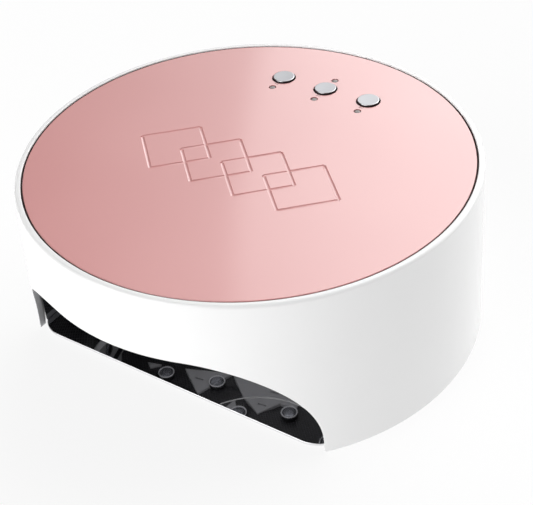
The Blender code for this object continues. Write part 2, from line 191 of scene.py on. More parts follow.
def lift_face(bm, height):
    """Raise the only face of a bmesh into a slab, upwards."""
    raised = bmesh.ops.extrude_face_region(bm, geom=list(bm.faces))
    up = [item for item in raised["geom"] if isinstance(item, bmesh.types.BMVert)]
    bmesh.ops.translate(bm, vec=(0, 0, height), verts=up)
    return face_out(bm)


def bevel(bm, edges, width, steps=1):
    """Round off edges, or only flatten them when there is one step."""
    bmesh.ops.bevel(bm, geom=edges, offset=width, segments=steps, profile=0.5, affect="EDGES",
                    material=-1, clamp_overlap=steps == 2)


def block(bm, size):
    """Add a box around the origin to a bmesh and return its vertices."""
    made = bmesh.ops.create_cube(bm, size=1.0)["verts"]
    bmesh.ops.scale(bm, vec=size, verts=made)
    return made


def join(bm, other):
    """Add another bmesh to this one and use it up."""
    mesh = bpy.data.meshes.new("joined")
    other.to_mesh(mesh)
    other.free()
    bm.from_mesh(mesh)
    bpy.data.meshes.remove(mesh)
    return bm


def trim(bm, point, direction):
    """Cut off what lies beyond a plane and close the cut."""
    geom = bm.verts[:] + bm.edges[:] + bm.faces[:]
    bmesh.ops.bisect_plane(bm, geom=geom, plane_co=point, plane_no=direction, clear_outer=True)
    bmesh.ops.holes_fill(bm, edges=[e for e in bm.edges if e.is_boundary])


def rod(bm, radius, low, high, at=(0, 0), steps=48):
    """Add an upright closed cylinder to a bmesh and return its vertices."""
    made = bmesh.ops.create_cone(bm, cap_ends=True, segments=steps, radius1=radius,
                                 radius2=radius, depth=high - low)
    bmesh.ops.translate(bm, vec=(at[0], at[1], (low + high) / 2), verts=made["verts"])
    return made["verts"]


# %% [markdown]
# ## The camera
# A product view from above the front right corner, with a long lens so that the rim stays a calm
# ellipse. The camera is placed by its angles around a point inside the lamp, then rolled a
# little.

# %% Camera
VIEW_TARGET = Vector((13.6, -11.0, 40.0)) * MM
VIEW_DISTANCE = 529.6 * MM
VIEW_AZIMUTH = 35.895
VIEW_ELEVATION = 37.704
VIEW_ROLL = -4.135
LENS = 83.73


def make_camera():
    """Look at the lamp from an azimuth and elevation, with a roll about the line of sight."""
    azimuth, elevation = math.radians(VIEW_AZIMUTH), math.radians(VIEW_ELEVATION)
    towards = Vector((math.sin(azimuth) * math.cos(elevation),
                      -math.cos(azimuth) * math.cos(elevation), math.sin(elevation)))
    data = bpy.data.cameras.new("camera")
    data.lens = LENS
    data.clip_start = 0.01
    camera = new_object("camera", data)
    turn = towards.to_track_quat("Z", "Y").to_matrix().to_4x4()
    camera.matrix_world = (Matrix.Translation(VIEW_TARGET + towards * VIEW_DISTANCE) @ turn @
                           turned(VIEW_ROLL))
    bpy.context.scene.camera = camera
    return camera


make_camera()

# %% [markdown]
# ## Helpers for every finish
# Colours are picked as sRGB hex codes, and a shader wants linear values. One helper adds a node
# and sets or links its inputs. Three more drive a shader's colour, roughness or bump, so that
# each material below reads as a short recipe.


# %% Colour and node helpers
def colour(code):
    """Linear colour from an sRGB hex code."""
    channels = [int(code[i:i + 2], 16) / 255 for i in (0, 2, 4)]
    linear = [c / 12.92 if c <= 0.04045 else ((c + 0.055) / 1.055) ** 2.4 for c in channels]
    return (*linear, 1.0)


def node(tree, kind, inputs, **settings):
    """Add a shader node with its settings; each input is a value or another node's output."""
    made = tree.nodes.new(kind)
    for key, value in settings.items():
        setattr(made, key, value)
    for socket, value in inputs.items():
        if isinstance(value, bpy.types.NodeSocket):
            tree.links.new(value, made.inputs[socket])
        else:
            made.inputs[socket].default_value = value
    return made


def finish_of(name, **values):
    """A new material: its node tree, its shader and its object coordinates."""
    material = bpy.data.materials.new(name)
    material.use_nodes = True
    tree = material.node_tree
    shader = tree.nodes["Principled BSDF"]
    for socket, value in values.items():
        shader.inputs[socket.replace("_", " ")].default_value = value
    place = tree.nodes.new("ShaderNodeTexCoord").outputs["Object"]
    return material, tree, shader, place


def tint(tree, shader, driver, dark, light):
    """Drive the base colour between two hex colours with a value from 0 to 1."""
    mix = node(tree, "ShaderNodeMix", {0: driver, 6: colour(dark), 7: colour(light)},
               data_type="RGBA")
    tree.links.new(mix.outputs[2], shader.inputs["Base Color"])


def relief(tree, shader, height, depth_mm):
    """Bump the surface by a height pattern of a real depth."""
    bump = node(tree, "ShaderNodeBump", {"Distance": depth_mm * MM, "Height": height,
                                         "Strength": 1.0})
    tree.links.new(bump.outputs["Normal"], shader.inputs["Normal"])


def per_mm(size):
    """Texture scale, in repeats per metre, for a feature of this many millimetres."""
    return 1.0 / (size * MM)


def roughen(tree, shader, driver, low, high):
    """Let a value from 0 to 1 drive the roughness."""
    spread = node(tree, "ShaderNodeMapRange", {"Value": driver, "To Min": low, "To Max": high})
    tree.links.new(spread.outputs["Result"], shader.inputs["Roughness"])


# %% [markdown]
# ## Moulded plastics
# The shell is ABS, injection moulded in a polished tool: a clean gloss, with the faint long
# waviness that moulded walls have. The parts that are out of sight are the same plastic with a
# sparked, matte tool surface, which scatters the light.


# %% Plastic finishes
def moulded(name, dark, light, roughness, grain_mm, grain_depth, wave_depth=0.0, **values):
    """Moulded plastic: soft colour drift, surface grain and the long waviness of a wall."""
    material, tree, shader, place = finish_of(name, Roughness=roughness, **values)
    drift = node(tree, "ShaderNodeTexNoise", {"Vector": place, "Scale": per_mm(35),
                                              "Detail": 2.0}).outputs["Fac"]
    tint(tree, shader, drift, dark, light)
    grain = node(tree, "ShaderNodeTexNoise", {"Vector": place, "Scale": per_mm(grain_mm),
                                              "Detail": 3.0}).outputs["Fac"]
    roughen(tree, shader, grain, roughness * 0.85, roughness * 1.2)
    wave = node(tree, "ShaderNodeMath", {0: drift, 1: wave_depth}, operation="MULTIPLY")
    both = node(tree, "ShaderNodeMath", {0: grain, 1: grain_depth, 2: wave.outputs[0]},
                operation="MULTIPLY_ADD")
    relief(tree, shader, both.outputs[0], 1.0)
    return material


white_abs = moulded("white_gloss_abs", "F5F5F5", "F9F9F9", 0.2, 0.6, 0.0008, 0.01, IOR=1.54,
                    Coat_Weight=0.25, Coat_Roughness=0.06)
# The upright edges of the mouth are matt and a little greyer: painted shade on the white wall's
# cut face, which lies in shadow.
painted_shade_abs = moulded("mouth_edge_painted_shade_abs", "BABABC", "C4C4C6", 0.55, 0.4, 0.004, IOR=1.54)
# Sparked black ABS inside: dark, with a soft broken highlight.
black_abs = moulded("black_moulded_abs", "0B0B0D", "141417", 0.32, 0.5, 0.004, IOR=1.54)
grey_abs = moulded("grey_moulded_abs", "86878B", "93949A", 0.48, 0.4, 0.006, IOR=1.54)
switch_nylon = moulded("black_switch_nylon", "1B1B1E", "27272B", 0.5, 0.3, 0.006, IOR=1.53)
plunger_nylon = moulded("brown_switch_nylon", "6B4E3E", "7C5C4A", 0.5, 0.3, 0.006, IOR=1.53)
# A milky polycarbonate rod that carries a status light up to the plate.
milky_pc = moulded("milky_light_pipe", "8F8A88", "A39D9B", 0.35, 0.3, 0.002, IOR=1.58,
                   Transmission_Weight=0.1)
wire_pvc = moulded("soft_wire_pvc", "1A1A1D", "26262A", 0.45, 0.8, 0.01, IOR=1.52)
# Silicone rubber pads: no gloss at all, and a dusty bloom.
pad_rubber = moulded("dusty_pad_rubber", "232325", "343436", 0.85, 0.5, 0.02, IOR=1.45)
# Dark adhesive foam; the same material also paints the shade in the gap around the top plate.
foam_and_gap_shade = moulded("dark_adhesive_foam_and_gap_shade", "2A1D1D", "3A2929", 0.9, 0.4, 0.03, IOR=1.4)
print("moulded plastics ready")

# %% [markdown]
# ## The pearl lacquer of the top plate
# The decor plate is sprayed with a pink pearl lacquer under a clear coat. Pearl flakes are a few
# hundredths of a millimetre, too fine to see, so they are drawn at 0.35 mm as a very faint
# sparkle. The clear coat gives the sharp edge of the light that lies across the plate.


# %% Pearl lacquer
SPARKLE = 0.06


def pearl_lacquer():
    """Pink pearl under a clear coat."""
    material, tree, shader, place = finish_of("pink_pearl_lacquer", Roughness=0.3, IOR=1.5,
                                              Specular_IOR_Level=0.8, Coat_Weight=1.0,
                                              Coat_Roughness=0.06, Coat_IOR=1.7)
    flakes = node(tree, "ShaderNodeTexVoronoi", {"Vector": place, "Scale": per_mm(0.35)})
    sparkle = node(tree, "ShaderNodeSeparateColor", {"Color": flakes.outputs["Color"]})
    drift = node(tree, "ShaderNodeTexNoise", {"Vector": place, "Scale": per_mm(60),
                                              "Detail": 1.0})
    total = node(tree, "ShaderNodeMath", {0: sparkle.outputs[0], 1: SPARKLE,
                                          2: drift.outputs["Fac"]},
                 operation="MULTIPLY_ADD", use_clamp=True)
    tint(tree, shader, total.outputs[0], "DA9795", "E1A09E")
    roughen(tree, shader, sparkle.outputs[1], 0.295, 0.305)
    relief(tree, shader, sparkle.outputs[0], 0.0001)
    return material


pink_pearl = pearl_lacquer()
print("lacquer ready")

# %% [markdown]
# ## Metals
# The tray is polished steel under a dark mirror coating. The button caps are turned aluminium,
# brushed in one direction, so their grain is noise stretched thirty times along X. Screws are
# zinc plated, with a slight mottling in the plating.


# %% Metal finishes
def metal(name, dark, light, roughness, grain_mm, stretch=(1.0, 1.0, 1.0), depth=0.002):
    """A metal with a grain that may be drawn out along one axis."""
    material, tree, shader, place = finish_of(name, Metallic=1.0, Roughness=roughness)
    drawn = node(tree, "ShaderNodeMapping", {"Vector": place, "Scale": stretch})
    grain = node(tree, "ShaderNodeTexNoise", {"Vector": drawn.outputs["Vector"],
                                              "Scale": per_mm(grain_mm),
                                              "Detail": 4.0}).outputs["Fac"]
    tint(tree, shader, grain, dark, light)
    roughen(tree, shader, grain, roughness * 0.7, roughness * 1.3)
    relief(tree, shader, grain, depth)
    return material


dark_mirror = metal("dark_mirror_steel", "DCDCDF", "E2E2E5", 0.03, 40.0, depth=0.0)
tray_edge = metal("bare_tray_edge", "E2E2E4", "EDEDEE", 0.3, 1.5, (0.1, 0.1, 1.0))
brushed_cap = metal("brushed_aluminium", "A6A7AA", "BCBDC0", 0.42, 0.25, (0.033, 1.0, 1.0), 0.003)
# The polished rim is lighter than the brushed face: a real polished edge, with a painted
# highlight in its colour.
polished_rim_highlight = metal("turned_cap_rim_painted_highlight", "C4C5C8", "D2D3D6", 0.2, 0.8)
zinc = metal("zinc_plated_steel", "9A9DA1", "B1B4B8", 0.34, 1.2)
nickel = metal("nickel_plated_magnet", "AFAFB0", "C2C2C2", 0.22, 1.5)
print("metals ready")

# %% [markdown]
# ## The hood, the ceiling, the lenses and the boards
# The hood and the ceiling are black plastic, pressed with a fine diamond mesh. The mesh is drawn
# as two sets of crossing lines. On the flat ceiling they run along X + Y and X - Y. On the hood
# they wind up the wall, so X and Y are first turned into a distance around the lamp. The real
# mesh has a pitch of about a millimetre, and it is drawn at 1.7 mm so that it still shows.

# %% Diamond mesh
MESH_PITCH = 1.7
HOOD_RADIUS = 80.0                     # inside of the hood's drum


def mesh_lines(tree, across, along):
    """0 in the holes of a diamond mesh and 1 on its lines, from two distances in metres."""
    ridges = []
    for way in ("ADD", "SUBTRACT"):
        run = node(tree, "ShaderNodeMath", {0: across, 1: along}, operation=way)
        phase = node(tree, "ShaderNodeMath", {0: run.outputs[0], 1: math.pi * per_mm(MESH_PITCH)},
                     operation="MULTIPLY")
        wave = node(tree, "ShaderNodeMath", {0: phase.outputs[0]}, operation="SINE")
        ridges.append(node(tree, "ShaderNodeMath", {0: wave.outputs[0]}, operation="ABSOLUTE"))
    valley = node(tree, "ShaderNodeMath", {0: ridges[0].outputs[0], 1: ridges[1].outputs[0]},
                  operation="MINIMUM")
    return node(tree, "ShaderNodeMapRange", {"Value": valley.outputs[0], "From Min": 0.55,
                                             "From Max": 0.15}).outputs["Result"]


def meshed(name, dark, light, wound):
    """Black plastic pressed with a diamond mesh, flat or wound around the upright axis."""
    material, tree, shader, place = finish_of(name, Roughness=0.3, IOR=1.54)
    split = node(tree, "ShaderNodeSeparateXYZ", {"Vector": place})
    across, along = split.outputs["X"], split.outputs["Y"]
    if wound:
        turn = node(tree, "ShaderNodeMath", {0: along, 1: across}, operation="ARCTAN2")
        across = node(tree, "ShaderNodeMath", {0: turn.outputs[0], 1: HOOD_RADIUS * MM},
                      operation="MULTIPLY").outputs[0]
        along = split.outputs["Z"]
    lines = mesh_lines(tree, across, along)
    tint(tree, shader, lines, dark, light)
    relief(tree, shader, lines, 0.1)
    return material


mesh_ceiling = meshed("mesh_pressed_ceiling", "040405", "3C3C40", False)
mesh_hood = meshed("mesh_pressed_hood", "060607", "3A3A3E", True)
satin_facet = moulded("satin_grey_facet", "909092", "9E9EA0", 0.45, 0.5, 0.003, IOR=1.5)
# Near-white strip on the wall panels: a painted highlight of the light coming in at the mouth.
painted_highlight_facet = moulded("painted_highlight_strip", "F4F4F6", "FBFBFC", 0.4, 0.5, 0.003, IOR=1.5)
# The collars of the lamps have a pale lip, which shows as a ring in the dark ceiling: a painted
# glint standing in for the bright ring of light on each lamp.
lamp_lip_glint = moulded("pale_lamp_lip_painted_glint", "D4D4D8", "DEDEE2", 0.3, 0.5, 0.002, IOR=1.58)


def board(name, dark, light):
    """Solder mask over copper: a soft sheen, with the tracks showing as faint raised bands."""
    material, tree, shader, place = finish_of(name, Roughness=0.4, IOR=1.5, Coat_Weight=0.3)
    tracks = node(tree, "ShaderNodeTexBrick", {"Vector": place, "Scale": per_mm(4.0),
                                               "Mortar Size": 0.08})
    tint(tree, shader, tracks.outputs["Fac"], dark, light)
    relief(tree, shader, tracks.outputs["Fac"], 0.03)
    return material


green_mask = board("green_solder_mask", "1B4634", "2C6A50")
white_mask = board("white_solder_mask", "DADCDA", "C4C8C4")


def clear_dome():
    """Clear silicone dome: nearly all transmission, with a trace of mould haze."""
    material, tree, shader, place = finish_of("clear_silicone_dome", IOR=1.42, Roughness=0.05,
                                              Transmission_Weight=0.9)
    haze = node(tree, "ShaderNodeTexNoise", {"Vector": place, "Scale": per_mm(1.0),
                                             "Detail": 2.0})
    tint(tree, shader, haze.outputs["Fac"], "E4E8F4", "F4F6FC")
    return material


def phosphor():
    """Lamp chip under the dome: a violet-grey square of dies."""
    material, tree, shader, place = finish_of("lamp_chip", Roughness=0.4)
    dies = node(tree, "ShaderNodeTexChecker", {"Vector": place, "Scale": per_mm(0.8),
                                               "Color1": colour("1A191E"),
                                               "Color2": colour("2C2A26")})
    tree.links.new(dies.outputs["Color"], shader.inputs["Base Color"])
    return material


dome_clear = clear_dome()
lamp_chip = phosphor()
print("hood, ceiling, board and lens finishes ready")

# %% [markdown]
# ## The shell
# The outer shell is a turned wall with an arch cut through it. Cutting it with a boolean would
# leave hard edges and untidy faces along the arch. So the wall is spun first, and its lower edge
# is then pulled up over the arch: every vertex keeps its place in the grid, and the rounded edge
# of the wall runs evenly round the mouth and the two front corners.

# %% The mouth's edge
MOUTH_HALF = 74.6
MOUTH_TOP = 50.2
MOUTH_CORNER = 45.0
LEG_CORNER = 1.2                       # rounding of the two front corners at the table
EDGE_ROUND = 0.4                       # rounding of the wall's lower edge
EDGE_BAND = 0.8                        # strip along the edge that keeps its width
WARP_TOP = 66.0                        # above this height the wall is left as it was spun
TOP_SPAN, ARC_SPAN, SIDE_SPAN, CORNER_SPAN = 13.0, 52.0, 55.0, 59.0   # degrees from the front


def mouth_edge(turn):
    """Point in X and Z on the mouth's edge, and the direction into the wall."""
    straight = MOUTH_HALF - MOUTH_CORNER
    if turn <= TOP_SPAN:
        return Vector((straight * turn / TOP_SPAN, MOUTH_TOP)), Vector((0, 1))
    if turn <= ARC_SPAN:
        angle = math.radians(90 * (ARC_SPAN - turn) / (ARC_SPAN - TOP_SPAN))
        inward = Vector((math.cos(angle), math.sin(angle)))
        return Vector((straight, MOUTH_TOP - MOUTH_CORNER)) + MOUTH_CORNER * inward, inward
    low = SHELL_BOTTOM + LEG_CORNER
    if turn <= SIDE_SPAN:
        down = (turn - ARC_SPAN) / (SIDE_SPAN - ARC_SPAN)
        height = (MOUTH_TOP - MOUTH_CORNER) * (1 - down) + low * down
        return Vector((MOUTH_HALF, height)), Vector((1, 0))
    angle = math.radians(180 + 90 * (turn - SIDE_SPAN) / (CORNER_SPAN - SIDE_SPAN))
    outward = Vector((math.cos(angle), math.sin(angle)))
    return Vector((MOUTH_HALF + LEG_CORNER, low)) + LEG_CORNER * outward, -outward


def wall_radius(height, inset=0.0):
    """Radius of the drafted wall at a height, measured in from its outside."""
    return BASE_RADIUS - DRAFT * height / RIM_TOP - inset


def wall_point(turn, rise, inset):
    """Point on the wall, at a turn from the front and a rise from its lower edge."""
    near = min(rise, EDGE_BAND)
    if turn < CORNER_SPAN:
        edge, inward = mouth_edge(turn)
        x, z = edge + near * inward
        angle = math.asin(min(1.0, x / wall_radius(z, inset)))
    else:
        z = SHELL_BOTTOM + near
        corner = math.asin((MOUTH_HALF + LEG_CORNER) / wall_radius(z, inset))
        part = (turn - CORNER_SPAN) / (90 - CORNER_SPAN)
        angle = corner + (math.pi / 2 - corner) * part
    if rise > EDGE_BAND:
        up = (rise - EDGE_BAND) / (WARP_TOP - SHELL_BOTTOM - EDGE_BAND)
        angle += (math.radians(turn) - angle) * up
        z += (WARP_TOP - z) * up
    radius = wall_radius(z, inset)
    return Vector((radius * math.sin(angle), -radius * math.cos(angle), z))


def open_mouth(bm):
    """Pull the wall's lower edge up over the arch."""
    for vert in bm.verts:
        turn = math.degrees(math.atan2(abs(vert.co.x), -vert.co.y))
        reach = vert.co.xy.length
        inset = wall_radius(vert.co.z) - reach
        if turn >= 90 - 1e-6 or vert.co.z >= WARP_TOP or inset > WALL + 0.01:
            continue
        rise = vert.co.z - SHELL_BOTTOM
        outer = wall_point(turn, rise, 0.0)
        inner = wall_point(turn, rise, WALL)
        place = outer.lerp(inner, max(0.0, inset) / WALL)
        vert.co = (math.copysign(place.x, vert.co.x), place.y, place.z)


# %% Shell
RIM_INNER = PLATE_RADIUS + 0.5
RIM_ROUND = 1.5
deck_low, deck_high = extent("top_deck")
DECK_TOP, DECK_BOTTOM, DECK_RADIUS = deck_high.z, 73.8, deck_high.x
LEDGE_TOP = DECK_BOTTOM - 0.3          # step inside the wall that the deck rests on
LEDGE_DEPTH = 4.5
LEDGE_RADIUS = 91.5
AROUND = 480                           # segments around the lamp


def wall_rows():
    """Heights of the wall's rows, close together near the edge and wider above."""
    rises = [EDGE_ROUND, EDGE_BAND]
    while rises[-1] < WARP_TOP - SHELL_BOTTOM - 4:
        rises.append(rises[-1] + min(4.0, 0.6 * rises[-1]))
    return [SHELL_BOTTOM + rise for rise in rises] + [WARP_TOP]


def shell_profile():
    """Section of the shell: rim, outside, rounded lower edge, inside and the deck's ledge."""
    rows = wall_rows()
    outside = [(wall_radius(z), z) for z in reversed(rows)]
    inside = [(wall_radius(z, WALL), z) for z in rows]
    lower = SHELL_BOTTOM + EDGE_ROUND
    outer_corner = arc((wall_radius(SHELL_BOTTOM) - EDGE_ROUND, lower), EDGE_ROUND, 0, -90, 4)
    inner_corner = arc((wall_radius(SHELL_BOTTOM, WALL) + EDGE_ROUND, lower), EDGE_ROUND,
                       -90, -180, 4)
    rim_edge = arc((wall_radius(RIM_TOP) - RIM_ROUND, RIM_TOP - RIM_ROUND), RIM_ROUND, 90, 0, 8)
    lip = arc((RIM_INNER + 0.25, RIM_TOP - 0.25), 0.25, 180, 90, 4)
    return [(RIM_INNER, LEDGE_TOP), *lip, *rim_edge, *outside[:-1], *outer_corner,
            *inner_corner, *inside[1:-1], (wall_radius(LEDGE_TOP - LEDGE_DEPTH, WALL),
                                           LEDGE_TOP - LEDGE_DEPTH),
            (LEDGE_RADIUS, LEDGE_TOP - 0.5), (LEDGE_RADIUS, LEDGE_TOP)]


BUTTON_XS = (-22.2, 0.0, 22.2)
BUTTON_Y = 62.0
DOT_PLACES = [(x, 52.4) for x in BUTTON_XS] + [(0.0, 70.5)]
JACK_HEIGHT = 15.0
INLET_HOLE = 4.3                       # radius of the hole in the wall
DOT_HOLE = 1.7                         # radius of a status light's hole


def hole_cutter(button_radius, low, high):
    """Cylinders for the buttons and the status lights."""
    cutter = bmesh.new()
    for x in BUTTON_XS:
        rod(cutter, button_radius, low, high, (x, BUTTON_Y), 64)
    for place in DOT_PLACES:
        rod(cutter, DOT_HOLE, low, high, place, 32)
    return cutter


def make_shell():
    """Spin the wall, open the mouth, then cut the hole for the inlet."""
    bm = spin(shell_profile(), AROUND, closed=True)
    open_mouth(bm)
    cutter = bmesh.new()
    rod(cutter, INLET_HOLE, -8, 8)
    move(cutter, (0, BASE_RADIUS - 2, JACK_HEIGHT), turned(90, "X"))
    bm = cut(bm, cutter)
    bm.normal_update()
    # Upright faces inside the mouth get the greyer material, painted shade on the wall's cut
    # face.
    for face in bm.faces:
        middle = face.calc_center_median()
        upright = abs(face.normal.x) > 0.85 and middle.x * face.normal.x < 0
        in_mouth = middle.y < -BASE_RADIUS / 2 and abs(middle.x) < MOUTH_HALF + 1
        face.material_index = int(upright and in_mouth and middle.z < WARP_TOP)
    return finish(bm, "shell", "housing", [white_abs, painted_shade_abs], ["outer_shell"])


shell = make_shell()
print("shell:", len(shell.data.polygons), "faces")


# %% Deck
def make_deck():
    """Disc that closes the shell under the plate, with its holes and two board posts."""
    profile = [(0, DECK_TOP), (DECK_RADIUS - 0.4, DECK_TOP), (DECK_RADIUS, DECK_TOP - 0.4),
               (DECK_RADIUS, DECK_BOTTOM), (0, DECK_BOTTOM)]
    bm = spin(profile, 240)
    bm = cut(bm, hole_cutter(5.2, DECK_BOTTOM - 2, DECK_TOP + 2))
    for number in (1, 2):
        middle = reach_of(f"board_screw_{number}")[2]
        rod(bm, 3.0, deck_low.z, DECK_BOTTOM + 0.5, (middle.x, middle.y))
    return finish(bm, "deck", "housing", [white_abs], ["top_deck"])


make_deck()

# %% [markdown]
# ## The top plate
# A disc with a fine rounded edge lies in the recess of the shell, a hair below the rim. A band
# of interlocking diamonds is engraved in it with a round-nosed cutter. The grooves are real:
# each stroke is a cylinder laid just above the surface, so it takes out a shallow round channel.

# %% Engraved diamonds
MOTIF_CENTRE = Vector((0.0, -9.0))
MOTIF_PITCH = 21.0
MOTIF_HALF = 18.0                      # from a diamond's middle to its corners
MOTIF_COUNT = 4
CUTTER_RADIUS = 1.0
CUTTER_LIFT = 0.6                      # height of the round cutter's middle above the surface


def groove(bm, start, end):
    """Lay one round cutter along a stroke from start to end."""
    run = end - start
    verts = rod(bm, CUTTER_RADIUS, -run.length / 2, run.length / 2, steps=16)
    turn = turned(math.degrees(math.atan2(run.y, run.x)))
    middle = (start + end) / 2
    move(bm, (middle.x, middle.y, PLATE_TOP + CUTTER_LIFT), turn @ turned(90, "Y"), verts)


def motif_cutter(bm):
    """Add the strokes of the row of interlocking diamonds."""
    for index in range(MOTIF_COUNT):
        across = (index - (MOTIF_COUNT - 1) / 2) * MOTIF_PITCH
        centre = MOTIF_CENTRE + Vector((across, 0))
        corners = [centre + MOTIF_HALF * Vector(way) for way in (
            (1, 0), (0, 1), (-1, 0), (0, -1))]
        for start, end in zip(corners, corners[1:] + corners[:1]):
            groove(bm, start, end)
    return bm


# %% Top plate
PLATE_SHY = 0.3                        # the lacquered disc is cut a little small


def make_plate():
    """Turned disc with a fine edge, its holes and its engraving."""
    radius = PLATE_RADIUS - PLATE_SHY
    round_edge = arc((radius - 0.3, PLATE_TOP - 0.3), 0.3, 90, 0, 4)
    profile = [(0, PLATE_TOP), (radius - 0.6, PLATE_TOP), *round_edge,
               (radius, plate_low.z), (0, plate_low.z)]
    bm = spin(profile, AROUND)
    bm = cut(bm, hole_cutter(5.5, plate_low.z - 2, PLATE_TOP + 2))
    bm = cut(bm, motif_cutter(bmesh.new()))
    return finish(bm, "decor_plate", "housing", [pink_pearl], ["top_plate"],
                  sharp=20)


def make_gap_shade():
    """Dark ring in the gap between the plate and the rim: painted shade for the shadowed gap."""
    low = DECK_TOP + 0.1
    high = PLATE_TOP - 0.4
    inside, outside = PLATE_RADIUS - PLATE_SHY + 0.03, RIM_INNER - 0.03
    bm = spin([(inside, high), (outside, high + 0.1), (outside, low), (inside, low)], AROUND,
              closed=True)
    finish(bm, "plate_gap_shade", "housing", [foam_and_gap_shade])


plate = make_plate()
make_gap_shade()
print("plate:", len(plate.data.polygons), "faces")

# %% [markdown]
# ## Buttons and status lights
# Each button is a turned cap with a fine polished edge around a brushed face. A dark silicone
# gasket fills the gap in the plate. Caps move with their own bodies, and the gaskets stay behind.
# The lighter colour of the cap's edge is partly a painted highlight, and the black side of the
# cap and the dark gasket are painted shade around the cap.

# %% Buttons
CAP_RADIUS = 4.85
CAP_ROUND = 0.2
CAP_TOP = extent("button_middle")[1].z
SIDES = ("left", "middle", "right")


def cap_profile():
    """Section of a cap: dished face, rounded edge, barrel and the collar that keeps it in."""
    edge = arc((CAP_RADIUS - CAP_ROUND, CAP_TOP - CAP_ROUND), CAP_ROUND, 90, 0, 4)
    return [(0, CAP_TOP - 0.06), (2.6, CAP_TOP - 0.04), (CAP_RADIUS - 0.5, CAP_TOP), *edge,
            (CAP_RADIUS, 73.6), (CAP_RADIUS + 0.1, 73.5), (6.4, 73.5), (6.5, 73.4), (6.5, 72.4),
            (6.4, 72.3), (0, 72.3)]


def make_button(side, x):
    """One cap: brushed face, polished edge with a painted highlight, and a black barrel whose
    side is painted shade.
    """
    bm = paint(spin(cap_profile(), 96), lambda middle: 2 if middle.z < CAP_TOP - CAP_ROUND
               else int(middle.xy.length > CAP_RADIUS - CAP_ROUND))
    move(bm, (x, BUTTON_Y, 0))
    finish(bm, f"button_cap_{side}", f"{side}_button", [brushed_cap, polished_rim_highlight, black_abs],
           [f"button_{side}"])
    # The dark gasket is painted shade in the gap around the cap.
    gasket = spin([(4.98, 77.6), (5.1, 77.75), (5.4, 77.75), (5.48, 77.6), (5.48, 76.9),
                   (4.98, 76.9)], 64, closed=True)
    move(gasket, (x, BUTTON_Y, 0))
    finish(gasket, f"button_gap_shade_gasket_{side}", "housing", [pad_rubber])


for side, x in zip(SIDES, BUTTON_XS):
    make_button(side, x)


# %% Status lights
def make_dot(number, place):
    """Light pipe with a softly crowned end, level with the plate."""
    low, high = extent(f"light_pipe_{number}")
    crown = arc((0.9, high.z - 0.5), 0.5, 90, 0, 4)
    profile = [(0, high.z + 0.04), (0.5, high.z + 0.03), *crown, (1.4, low.z + 1),
               (2.2, low.z + 1), (2.2, low.z), (0, low.z)]
    bm = move(spin(profile, 40), (*place, 0))
    finish(bm, f"status_light_{number}", "housing", [milky_pc], [f"light_pipe_{number}"])


for number, place in enumerate(DOT_PLACES, 1):
    make_dot(number, place)
print("three buttons and", len(DOT_PLACES), "status lights")

# %% [markdown]
# ## Printed timer marks
# The plate has tiny printed marks between the buttons and their lights, so plain numbers of
# seconds stand there. Text is a curve in Blender, so it is made a mesh before it is moved to its
# place.

# %% Timer marks
print_ink = moulded("grey_pad_print", "8F7270", "9B7E7C", 0.5, 0.4, 0.0)
MARK_HEIGHT = 1.5
MARK_Y = 55.1
MARKS = (("10", -22.2), ("30", 0.0), ("60", 22.2))


def make_mark(text, x):
    """A timer number, printed flat on the plate in front of its button."""
    curve = bpy.data.curves.new("mark", "FONT")
    curve.body = text
    curve.size = MARK_HEIGHT / 0.7
    curve.align_x = "CENTER"
    curve.extrude = 0.01
    holder = new_object("mark", curve)
    bpy.context.view_layer.update()
    mesh = bpy.data.meshes.new_from_object(
        holder.evaluated_get(bpy.context.evaluated_depsgraph_get()))
    bm = bmesh.new()
    bm.from_mesh(mesh)
    bmesh.ops.remove_doubles(bm, verts=bm.verts, dist=0.0001)
    bpy.data.objects.remove(holder, do_unlink=True)
    bpy.data.meshes.remove(mesh)
    move(bm, (x, MARK_Y, PLATE_TOP + 0.005))
    finish(bm, f"timer_mark_{text}", "housing", [print_ink])


for text, x in MARKS:
    make_mark(text, x)

# %% [markdown]
# ## The mirror tray and its pads
# The tray is a thin polished plate: a circle with a straight front edge and two generous
# corners. Its outline is drawn with arcs, filled, raised and then given a fine rounded edge,
# whose bare metal shows as a pale line at the front. A thin etched curve on the mirror shows
# where the thumb goes.

# %% Tray
TRAY_RADIUS = tray_high.x
TRAY_FRONT = tray_low.y
TRAY_CORNER = 14.0
GUIDE_CENTRE = (52.6, -83.5)
GUIDE_RADIUS = 33.3
GUIDE_WIDTH = 0.7


def tray_outline():
    """A circle with a straight front and rounded front corners."""
    corner_y = TRAY_FRONT + TRAY_CORNER
    corner_x = math.sqrt((TRAY_RADIUS - TRAY_CORNER) ** 2 - corner_y ** 2)
    meet = math.degrees(math.atan2(corner_y, corner_x))
    rim = arc((0, 0), TRAY_RADIUS, meet, 180 - meet, 240)
    left = arc((-corner_x, corner_y), TRAY_CORNER, 180 - meet, 270, 20)
    right = arc((corner_x, corner_y), TRAY_CORNER, -90, meet, 20)
    return rim + left[1:] + right[:-1]


def make_tray():
    """Fill the outline, raise it and round its edges; the mirror is the flat top."""
    bm = bmesh.new()
    verts = [bm.verts.new((x, y, tray_low.z)) for x, y in tray_outline()]
    bm.faces.new(verts)
    lift_face(bm, TRAY_TOP - tray_low.z)
    rims = [e for e in bm.edges if abs(e.verts[0].co.z - e.verts[1].co.z) < 0.01]
    bevel(bm, rims, 0.25, 3)
    for face in bm.faces:
        face.material_index = 0 if abs(face.normal.z) > 0.99 else 1
    return finish(bm, "mirror_tray", "tray", [dark_mirror, tray_edge], ["base_tray"],
                  sharp=10)


